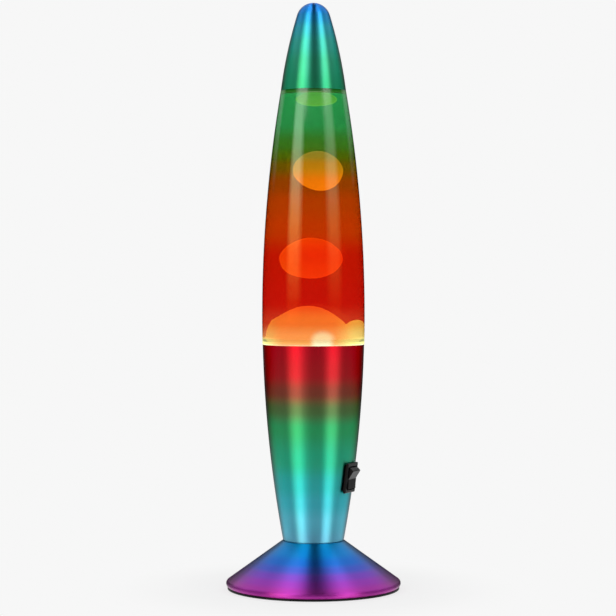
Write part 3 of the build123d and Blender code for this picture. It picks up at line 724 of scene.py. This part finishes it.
# %% The bottle's inside
GLASS_ARC = 940 * MM
GLASS_WALL = 2.2 * MM
LIP_RADIUS = 35.65 * MM
HEEL_RADIUS = 31.0 * MM
HEEL_CORNER = 4 * MM
rim_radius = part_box("top_cap")[1].x
floor_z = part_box("wax_mound")[0].z
chord = Vector((rim_radius - LIP_RADIUS, shelf_z - mouth_z))
reach = math.sqrt(GLASS_ARC**2 - chord.length_squared / 4)
arc_middle = (Vector((LIP_RADIUS, mouth_z)) + Vector((rim_radius, shelf_z))) / 2
arc_centre = arc_middle + Vector((-chord.y, chord.x)).normalized() * reach


def glass_radius(height):
    """The bottle's outside radius at a height."""
    return arc_centre.x + math.sqrt(GLASS_ARC**2 - (height - arc_centre.y) ** 2)


def bottle_inside(gap, top, heights=40):
    """The inner wall's line, a gap inwards, from the axis below to the wall above."""
    low = mouth_z + 2 * GLASS_WALL
    flat = HEEL_RADIUS - HEEL_CORNER
    line = [(0, floor_z + gap), (flat, floor_z + gap)]
    for degrees in range(15, 91, 15):
        turn = math.radians(degrees)
        across = flat + (HEEL_CORNER - gap) * math.sin(turn)
        line.append((across, floor_z + HEEL_CORNER - (HEEL_CORNER - gap) * math.cos(turn)))
    line.append((HEEL_RADIUS - gap, mouth_z + GLASS_WALL))
    for i in range(heights + 1):
        height = low + (top - low) * i / heights
        line.append((glass_radius(height) - GLASS_WALL - gap, height))
    return line


print("glass is widest by", round(2 * (arc_centre.x + GLASS_ARC) / MM, 1), "mm")

# %% [markdown]
# The liquid fills the bottle up to its own level, where it climbs the wall a little. In a
# picture the liquid and the glass must meet without air between them, or the edge of the
# bottle turns into a mirror, so the liquid reaches a little into the glass.

# %% The liquid
OVERLAP = 0.15 * MM
MENISCUS = 0.8 * MM
liquid_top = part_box("liquid")[1].z
line = bottle_inside(-OVERLAP, liquid_top)
wall = line[-1][0]
line += [
    (wall - 0.5 * MM, liquid_top - 0.4 * MENISCUS),
    (wall - 1.6 * MM, liquid_top - MENISCUS),
    (0, liquid_top - MENISCUS),
]
liquid = spin_outline("clear_liquid", line, steps=128)
material, tree, shader = new_material(
    "lamp_liquid",
    Transmission_Weight=1.0,
    IOR=1.33,
    Roughness=0.0,
    Base_Color=(0.99, 0.99, 0.99, 1),
)
end_piece(liquid, "bottle", material, ["liquid"])

# %% [markdown]
# The wax is lit from the bulb below. Real wax scatters that light through its whole body, and
# a surface that glows by itself stands for it: brightest low down, and dimmer towards the top.
# The glow's colour is chosen for what the tinted glass in front of it then leaves.

# %% Wax glow, a group
BLACK = (0, 0, 0, 1)
CLOUDS = 90
tree, start, end = new_group(
    "wax_glow",
    {
        **dict.fromkeys(("Low", "High", "Side"), BLACK),
        **dict.fromkeys(("From", "To", "Middle", "Inner", "Outer", "Clouds"), 0.0),
    },
    {"Glow": BLACK, "Height": 0.0},
)
glow_group, given = tree, start.outputs
axes = split_axes(tree, object_place(tree))
rise = map_span(tree, axes["Z"], given["From"], given["To"], kind="SMOOTHSTEP")
upward = blend_colours(tree, rise, given["Low"], given["High"])
aside = math_node(tree, "SUBTRACT", axes["X"], given["Middle"])
aside = math_node(tree, "ABSOLUTE", aside, 0.0)
outward = map_span(tree, aside, given["Inner"], given["Outer"], kind="SMOOTHSTEP")
sides = blend_colours(tree, outward, upward, given["Side"], blend_type="MULTIPLY")
clouds = noise_at(tree, CLOUDS)
level = math_node(tree, "SUBTRACT", clouds, 0.5)
level = math_node(tree, "ADD", math_node(tree, "MULTIPLY", level, given["Clouds"]), 1.0)
join(tree, scaled(tree, sides, level), end.inputs["Glow"])
join(tree, clouds, end.inputs["Height"])


def wax_material(name, low, high, heights, side, spans, clouds=0.25):
    """Wax that glows. Low and high are its colours, and side multiplies them outwards."""
    material, tree, shader = new_material(
        name, Roughness=0.35, Emission_Strength=1.0, Base_Color=(0.2, 0.09, 0.02, 1), IOR=1.1
    )
    glow = use_group(tree, glow_group, Low=(*low, 1), High=(*high, 1), Side=(*side, 1))
    labels = ("From", "To", "Middle", "Inner", "Outer", "Clouds")
    levels = (*heights, *(span * MM for span in spans), clouds)
    for label, value in zip(labels, levels):
        glow.inputs[label].default_value = value
    join(tree, glow.outputs["Glow"], shader.inputs["Emission Color"])
    add_bump(tree, shader, glow.outputs["Height"], 0.15 * MM)
    return material, tree, shader, glow


print("group", glow_group.name, "with", len(glow_group.nodes), "nodes")


# %% [markdown]
# Each rising blob of wax is a soft drop. A ball of even triangles is scaled to the size of the
# solid that it replaces, and then pushed and pulled here and there with a soft falloff, as
# fingers would press clay, until its outline is the lopsided one of a real blob.

# %% Blobs
def nudge(piece, place, move, reach):
    """Moves the point nearest to a place, and with a soft falloff everything around it."""
    object_mode()
    points = (vertex.co.copy() for vertex in piece.data.vertices)
    nearest = min(points, key=lambda co: (co - Vector(place)).length)
    select_points(piece, lambda co: co == nearest)
    bpy.ops.transform.translate(
        value=move,
        use_proportional_edit=True,
        proportional_edit_falloff="SMOOTH",
        proportional_size=reach,
    )


def wax_blob(name, node, body, material, nudges):
    """A ball fitted to a solid's box. A nudge's place is in shares of the half sizes."""
    low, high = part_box(node)
    middle, half = (low + high) / 2, (high - low) / 2
    deselect()
    bpy.ops.mesh.primitive_ico_sphere_add(subdivisions=4, radius=1)
    piece = start_piece(name)
    bpy.ops.mesh.select_all(action="SELECT")
    bpy.ops.transform.resize(value=half)
    bpy.ops.transform.translate(value=middle)
    for share, move, reach in nudges:
        place = [m + s * h for m, s, h in zip(middle, share, half)]
        nudge(piece, place, [v * MM for v in move], reach * MM)
    object_mode()
    refine(piece)
    return end_piece(piece, body, material, [node])


lower_wax, *_ = wax_material(
    "lower_wax", (1.1, 0.5, 0.08), (1.12, 0.26, 0.08), (0.214, 0.242), (1.0, 2.0, 1.5), (5, 8, 22)
)
upper_wax, *_ = wax_material(
    "upper_wax", (1.6, 0.95, 0.4), (1.15, 0.56, 0.5), (0.276, 0.307), (1, 1.1, 1), (3, 6, 14)
)
top_wax, *_ = wax_material(
    "top_wax", (0.75, 0.75, 0.15), (0.5, 0.6, 0.12), (0.336, 0.347), (1, 1, 1), (0, 8, 16)
)
wax_blob("wax_blob_low", "wax_blob_lower", "lower_blob", lower_wax, [
    ((0.75, 0, 0.6), (-0.5, 0, -0.3), 13),
    ((-0.8, 0, -0.5), (-0.4, 0, -0.6), 12),
    ((-0.7, 0, 0.65), (0.5, 0, -0.7), 10),
])
wax_blob("wax_blob_high", "wax_blob_upper", "upper_blob", upper_wax, [
    ((-0.6, 0, -0.8), (0.6, 0, 0.7), 12),
    ((0.5, 0, -0.85), (0.5, 0, -0.3), 11),
    ((0.7, 0, 0.65), (-0.2, 0, -0.5), 10),
])
wax_blob("wax_blob_surface", "wax_blob_top", "top_blob", top_wax, [
    ((0.4, 0, -0.8), (1.0, 0, 0.5), 7),
])

# %% [markdown]
# The rest of the wax lies on the bottle's floor as a mound, with a second lobe that leans
# against the right wall. It starts as three lumps that overlap: a dome, which is spun and
# nudged to the left, the small round lobe, and a flat pool that is wider than the bottle.

# %% Mound, the three lumps
DOME_ASIDE = -2.8 * MM
LOBE_RADIUS = 9.2 * MM
LOBE_PLACE = (24.6 * MM, -2 * MM, floor_z + 16.9 * MM)
POOL_RADIUS = 36 * MM
POOL_DEPTH = 14 * MM
pool_z = floor_z + 12.8 * MM
dome_line = [
    (0, 35.8), (3, 35.6), (6.5, 34.6), (10.7, 32.2), (15, 28.6), (18.6, 25.0), (20.8, 21.6),
    (22.2, 17.6), (22.9, 13.5), (23.2, 8), (0, 8),
]
mound = spin_outline("wax_mound_skin", [(r * MM, floor_z + z * MM) for r, z in dome_line])
bpy.ops.transform.translate(value=(DOME_ASIDE, 0, 0))
nudge(mound, (-21 * MM, 0, floor_z + 23 * MM), (-1.3 * MM, 0, 0.9 * MM), 9 * MM)
object_mode()
deselect()
bpy.ops.mesh.primitive_ico_sphere_add(subdivisions=4, radius=LOBE_RADIUS, location=LOBE_PLACE)
lobe = bpy.context.active_object
deselect()
bpy.ops.mesh.primitive_cylinder_add(
    vertices=128, radius=POOL_RADIUS, depth=POOL_DEPTH, location=(0, 0, pool_z - POOL_DEPTH / 2)
)
pool = bpy.context.active_object
join_pieces(mound, lobe, pool)
print("three lumps with", len(mound.data.vertices), "points")

# %% [markdown]
# A remesh makes one skin of the three lumps, a smoothing melts them together, and a boolean
# with the bottle's inside cuts the wide pool to the wall.

# %% Mound, one skin
VOXEL = 0.5 * MM
WALL_GAP = 0.1 * MM
room_top = floor_z + 60 * MM
mound.data.remesh_voxel_size = VOXEL
bpy.ops.object.voxel_remesh()
apply_modifier(mound, "SMOOTH", iterations=12, factor=0.5)
room = spin_outline("room", bottle_inside(WALL_GAP, room_top) + [(0, room_top)], steps=128)
object_mode()
apply_modifier(mound, "BOOLEAN", operation="INTERSECT", object=room)
bpy.data.objects.remove(room)
print("one skin with", len(mound.data.vertices), "points")

# %% [markdown]
# The mound lies nearest to the bulb. A soft round spot shows where the bulb shines through
# the wax that lies thin against the glass, so a second colour is mixed in by distance.

# %% Mound, its wax
SPOT_PLACE = (5.6 * MM, 0, mouth_z + 3.0 * MM)
SPOT_INNER, SPOT_OUTER = 4.0 * MM, 9.2 * MM
mound_wax, tree, shader, glow = wax_material(
    "mound_wax", (0.98, 0.58, 0.2), (1.12, 1.0, 0.2), (0.179, 0.189), (0.97, 2.2, 2.6),
    (-4, 15, 30), 0.15,
)
away = add(tree, "ShaderNodeVectorMath", operation="DISTANCE")
join(tree, combine(tree, "MULTIPLY", object_place(tree), (1, 0, 1)), away.inputs[0])
away.inputs[1].default_value = SPOT_PLACE
away = away.outputs["Value"]
spot = map_span(tree, away, SPOT_INNER, SPOT_OUTER, 1.0, 0.0, kind="SMOOTHSTEP")
lit = blend_colours(tree, spot, glow.outputs["Glow"], (1.0, 1.32, 1.1, 1))
join(tree, lit, shader.inputs["Emission Color"])
end_piece(mound, "bottle", mound_wax, ["wax_mound"])

# %% [markdown]
# Moulded plastic copies the steel mould it came from, which was blasted or etched to hide flow
# lines: a fine, even grain over broad, faint clouds. Rubber and bakelite have the same with
# other numbers, so it is one group. A second group gathers dust where a surface looks upwards.

# %% Moulded grain and settled dust, two groups
BROAD_GRAIN = 120
DUST_PATCHES, PATCH_DETAIL = 160, 4
tree, start, end = new_group(
    "moulded_grain",
    {"Scale": 900.0, "Roughness": 0.5, "Spread": 0.1},
    {"Height": 0.0, "Shade": 0.0, "Roughness": 0.0},
)
grain_group, given = tree, start.outputs
fine = noise_at(tree, given["Scale"])
broad = math_node(tree, "MULTIPLY", noise_at(tree, BROAD_GRAIN), 0.6)
shade = math_node(tree, "ADD", math_node(tree, "MULTIPLY", fine, 0.4), broad)
uneven = math_node(tree, "SUBTRACT", shade, 0.5)
uneven = math_node(tree, "MULTIPLY", uneven, given["Spread"])
uneven = math_node(tree, "ADD", uneven, given["Roughness"])
for label, value in (("Height", fine), ("Shade", shade), ("Roughness", uneven)):
    join(tree, value, end.inputs[label])

tree, start, end = new_group("settled_dust", {"Amount": 0.5}, {"Dust": 0.0})
dust_group = tree
normal = add(tree, "ShaderNodeNewGeometry").outputs["Normal"]
upward = map_span(tree, split_axes(tree, normal)["Z"], 0.3, 1.0)
patches = map_span(tree, noise_at(tree, DUST_PATCHES, PATCH_DETAIL), 0.35, 0.65)
settled = math_node(tree, "MULTIPLY", upward, patches)
settled = math_node(tree, "MULTIPLY", settled, start.outputs["Amount"])
join(tree, settled, end.inputs["Dust"])
print("groups", grain_group.name, "and", dust_group.name)

# %% [markdown]
# Every small part gets its finish from one recipe: two tones of its colour mixed by the grain,
# a roughness that varies with it, a bump, and dust. Turned and rolled metal takes its bump and
# its roughness from the rings of the lathe instead. A second function takes a table whose
# rows are finishes, and each row ends with the pieces that wear it.

# %% A recipe for the small parts
DUST = (0.42, 0.40, 0.36, 1)
SMALL_PARTS_SLOPE = 0.7


def finish(name, dark, light, scale, roughness, spread, depth, dust=0.0, rings=False, **values):
    """Two tones, a grain of a scale, a roughness with its spread, and a bump depth in mm."""
    material, tree, shader = new_material(name, **values)
    uneven = {"Roughness": roughness, "Spread": spread}
    grain = relief = use_group(tree, grain_group, Scale=scale, **uneven)
    if rings:
        relief = use_group(tree, rings_group, Slope=SMALL_PARTS_SLOPE, **uneven)
    colour = blend_colours(tree, grain.outputs["Shade"], (*dark, 1), (*light, 1))
    if dust:
        settled = use_group(tree, dust_group, Amount=dust)
        colour = blend_colours(tree, settled.outputs["Dust"], colour, DUST)
    join(tree, colour, shader.inputs["Base Color"])
    join(tree, relief.outputs["Roughness"], shader.inputs["Roughness"])
    add_bump(tree, shader, relief.outputs["Height"], depth * MM)
    return material, tree, shader


def dress(rows):
    """Makes each row's finish and puts it on the row's pieces."""
    made = {}
    for name, dark, light, grain, values, nodes in rows:
        made[name], *_ = finish(name, dark, light, *grain, **values)
        for node in nodes:
            wear(node, made[name])
    print("finishes:", ", ".join(made))
    return made


# %% [markdown]
# The switch is glossy black nylon with a crisp mould grain. The base cover and the cord gland
# are a duller black, the feet soft rubber, and the lampholder dark brown bakelite. A row holds
# the two tones, then the grain's scale, the roughness and its spread, the depth and the dust.

# %% Plastic, rubber and bakelite
dress([
    (
        "switch_black", (0.002, 0.002, 0.003), (0.006, 0.006, 0.006),
        (1500, 0.34, 0.12, 0.006, 0.0), {"Specular_IOR_Level": 0.06},
        ["switch_housing", "switch_rocker"],
    ),
    (
        "cover_black", (0.003, 0.003, 0.004), (0.008, 0.008, 0.009),
        (1100, 0.5, 0.15, 0.02, 0.05), {"Specular_IOR_Level": 0.08}, ["base_cover"],
    ),
    (
        "gland_black", (0.010, 0.010, 0.010), (0.022, 0.022, 0.022),
        (1400, 0.5, 0.2, 0.012, 0.0), {}, ["cord_gland"],
    ),
    (
        "foot_grey", (0.02, 0.02, 0.02), (0.045, 0.044, 0.042),
        (2200, 0.8, 0.15, 0.03, 0.0), {}, ["rubber_feet"],
    ),
    (
        "bakelite", (0.03, 0.02, 0.015), (0.06, 0.045, 0.035),
        (700, 0.38, 0.25, 0.01, 0.35), {"Coat_Weight": 0.3, "Coat_Roughness": 0.2},
        ["lampholder_base", "lampholder_body", "lampholder_insert"],
    ),
    (
        "sleeve_brown", (0.13, 0.045, 0.014), (0.24, 0.09, 0.03),
        (1300, 0.42, 0.2, 0.01, 0.0), {}, ["link_wire"],
    ),
    (
        "liner_white", (0.62, 0.62, 0.58), (0.78, 0.78, 0.74),
        (1800, 0.6, 0.2, 0.01, 0.0), {}, ["crown_liner"],
    ),
])

# %% [markdown]
# Bare metal parts: zinc-plated steel for the tube, the nut and the screws, drawn brass for the
# contacts, nickel on the bulb's cap, and lacquered tinplate for the crown cork. The solder
# and the spring wire weren't turned on a lathe, so they keep the grain, as the cork does.

# %% Bare metals
METAL = {"Metallic": 1.0}
TURNED = {"Metallic": 1.0, "rings": True}
metals = dress([
    (
        "zinc_plate", (0.42, 0.43, 0.45), (0.66, 0.65, 0.60),
        (420, 0.36, 0.25, 0.006, 0.2), TURNED,
        ["tie_tube", "tube_nut", "tube_washers", "terminal_screws"],
    ),
    (
        "drawn_brass", (0.50, 0.29, 0.09), (0.80, 0.56, 0.24),
        (380, 0.3, 0.3, 0.005, 0.15), TURNED,
        ["lampholder_shell", "centre_contact", "switch_terminals", "wire_terminal"],
    ),
    (
        "rolled_nickel", (0.50, 0.49, 0.46), (0.72, 0.70, 0.66),
        (300, 0.24, 0.2, 0.004, 0.0), TURNED, [],
    ),
    (
        "lacquered_tinplate", (0.30, 0.24, 0.11), (0.48, 0.41, 0.24),
        (260, 0.3, 0.2, 0.004, 0.1), {**METAL, "Coat_Weight": 0.5, "Coat_Roughness": 0.1}, [],
    ),
    (
        "solder_dome", (0.45, 0.46, 0.48), (0.66, 0.66, 0.66),
        (900, 0.38, 0.3, 0.03, 0.0), METAL, ["bulb_tip_contact"],
    ),
    (
        "coil_wire", (0.30, 0.30, 0.31), (0.5, 0.49, 0.46),
        (800, 0.4, 0.3, 0.01, 0.0), METAL, ["wax_coil"],
    ),
])

# %% [markdown]
# The bottle is closed as a soda bottle is, by a crown cork: a disc of thin tinplate whose skirt
# is crimped round the bottle's bead in twenty-one flutes. The outside is spun as one shell, then
# every ring of the skirt is drawn outwards flute by flute, the more the lower it lies, and a
# solidify modifier gives the sheet its thickness.

# %% Crown cork
FLUTES = 21
FLUTE_POINTS = 8
FLUTE_DEPTH = 0.7 * MM
TINPLATE_SHEET = 0.35 * MM
SAME_HEIGHT = 0.05 * MM
crown_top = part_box("crown_cork")[1].z
crown_line = [
    (0, 0), (9, 0), (11.4, 0.1), (12.6, 0.4), (13.35, 1.0), (13.7, 1.8), (13.8, 2.6),
    (13.8, 3.4), (13.8, 4.2), (13.8, 4.9), (13.8, 5.58),
]
skirt_growth = (0.2, 0.55, 0.85, 1.0, 1.0, 1.0)
skirt_line = crown_line[-len(skirt_growth):]
crown = spin_outline(
    "crown", [(r * MM, crown_top - drop * MM) for r, drop in crown_line], FLUTES * FLUTE_POINTS
)


def from_ridge(point):
    """Steps from a point to the nearest ridge of the flutes."""
    share = math.atan2(point.y, point.x) / (2 * math.pi)
    step = round(share * FLUTES * FLUTE_POINTS) % FLUTE_POINTS
    return min(step, FLUTE_POINTS - step)


for (radius, drop), growth in zip(skirt_line, skirt_growth):
    height = crown_top - drop * MM
    for step in range(FLUTE_POINTS // 2):
        select_points(
            crown, lambda co: abs(co.z - height) < SAME_HEIGHT and from_ridge(co) == step
        )
        wave = 0.5 + 0.5 * math.cos(2 * math.pi * step / FLUTE_POINTS)
        grown = 1 + FLUTE_DEPTH * wave * growth / (radius * MM)
        bpy.ops.transform.resize(value=(grown, grown, 1), center_override=(0, 0, 0))
object_mode()
thicken(crown, TINPLATE_SHEET)
refine(crown)
end_piece(crown, "bottle", metals["lacquered_tinplate"], ["crown_cork"])
ridge = max(vertex.co.x for vertex in crown.data.vertices)
print("crown cork reaches", round(ridge / MM, 2), "mm from the axis")

# %% [markdown]
# The bulb's cap is thin nickelled brass with a round thread rolled into it. A tube whose middle
# lies a little beside the axis, twisted once for every pitch, is exactly such a thread.

# %% Bulb's thread
PITCH = 2.82 * MM
CREST = 0.3 * MM
CAP_SHEET = 0.3 * MM
CAP_SIDES = 64
THREAD_RINGS = 60
BELOW_THREAD, ABOVE_THREAD = 1.4 * MM, 4.4 * MM
cap_low, cap_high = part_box("bulb_screw_cap")
cap_radius = cap_high.x
thread_low, thread_high = cap_low.z + BELOW_THREAD, cap_high.z - ABOVE_THREAD
ring_step = (thread_high - thread_low) / THREAD_RINGS
thread_line = [(cap_radius - CREST, thread_low + i * ring_step) for i in range(THREAD_RINGS + 1)]
thread = spin_outline("screw_cap", thread_line, CAP_SIDES)
bpy.ops.mesh.select_all(action="SELECT")
bpy.ops.transform.translate(value=(CREST, 0, 0))
object_mode()
turns = (thread_high - thread_low) / PITCH
apply_modifier(
    thread,
    "SIMPLE_DEFORM",
    deform_method="TWIST",
    deform_axis="Z",
    angle=2 * math.pi * turns,
)
thicken(thread, CAP_SHEET)
print("thread with", round(turns, 2), "turns")

# %% [markdown]
# A plain collar above the thread holds the glass, and a shallow cup below it holds the black
# insulator. Both are spun as closed rings and joined to the thread, since the real cap is
# pressed from one piece of sheet.

# %% Bulb's screw cap
collar_line = [
    (6.45, 4.5), (6.6, 4.5), (6.88, 4.1), (6.88, 0.3), (6.75, 0.02), (6.5, 0.02), (6.45, 0.3),
    (6.45, 4.5),
]
cup_line = [
    (3.5, 0.02), (6.0, 0.02), (6.45, 0.4), (6.6, 1.0), (6.6, 1.6), (6.3, 1.6), (6.25, 1.0),
    (5.95, 0.37), (3.5, 0.37), (3.5, 0.02),
]
collar = spin_outline(
    "collar", [(r * MM, cap_high.z - drop * MM) for r, drop in collar_line], CAP_SIDES
)
object_mode()
cup = spin_outline("cup", [(r * MM, cap_low.z + z * MM) for r, z in cup_line], CAP_SIDES)
object_mode()
join_pieces(thread, collar, cup)
end_piece(thread, "bulb", metals["rolled_nickel"], ["bulb_screw_cap"])

# %% [markdown]
# The bulb is a small reflector bulb. Its cone carries a thin silver film on the inside, and its
# crown is left clear, so that the light goes up into the bottle. One colour ramp over the
# height darkens and dulls the cone, and the filament glows behind the clear crown.

# %% Bulb
SILVER_SHARE = 0.62
SILVER_EDGE = 1.5 * MM
HOT = 6.0
cone_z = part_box("bulb_glass")[0].z
crown_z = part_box("bulb_glass")[1].z
silver_z = cone_z + SILVER_SHARE * (crown_z - cone_z)


def bulb_ramp(tree, below, above):
    """One colour for the silvered cone and another for the clear crown."""
    heights = (cone_z, silver_z - SILVER_EDGE, silver_z + SILVER_EDGE, crown_z)
    return height_ramp(tree, list(zip(heights, (below, below, above, above))))


bulb_glass, tree, shader = new_material(
    "bulb_glass", Transmission_Weight=1.0, IOR=1.45, Emission_Strength=1.0
)
for socket, below, above in [
    ("Base Color", (0.30, 0.30, 0.31), (0.97, 0.95, 0.90)),
    ("Roughness", (0.45,) * 3, (0.04,) * 3),
    ("Emission Color", (0.10, 0.09, 0.08), (0.55, 0.36, 0.18)),
]:
    join(tree, bulb_ramp(tree, below, above), shader.inputs[socket])
stem_glass, tree, shader = new_material(
    "stem_glass", Transmission_Weight=1.0, IOR=1.45, Roughness=0.03
)
clear = blend_colours(tree, noise_at(tree, 300), (0.85, 0.86, 0.84, 1), (0.98, 0.98, 0.96, 1))
join(tree, clear, shader.inputs["Base Color"])
vitrite, *_ = finish(
    "black_vitrite", (0.008, 0.008, 0.012), (0.02, 0.02, 0.03), 500, 0.12, 0.15, 0.01
)
tungsten, tree, shader = finish(
    "hot_tungsten", (0.3, 0.2, 0.1), (0.5, 0.35, 0.2), 2000, 0.5, 0.2, 0.005,
    Emission_Strength=HOT,
)
heat = blend_colours(tree, noise_at(tree, 900), (1.0, 0.45, 0.12, 1), (1.0, 0.72, 0.36, 1))
join(tree, heat, shader.inputs["Emission Color"])
for node, material in {
    "bulb_glass": bulb_glass,
    "bulb_stem": stem_glass,
    "bulb_insulator": vitrite,
    "bulb_filament": tungsten,
}.items():
    wear(node, material)
bare = [
    name
    for name, piece in parts.items()
    if not any(slot.link == "OBJECT" for slot in piece.material_slots)
]
print("pieces still without a finish of their own:", sorted(bare))
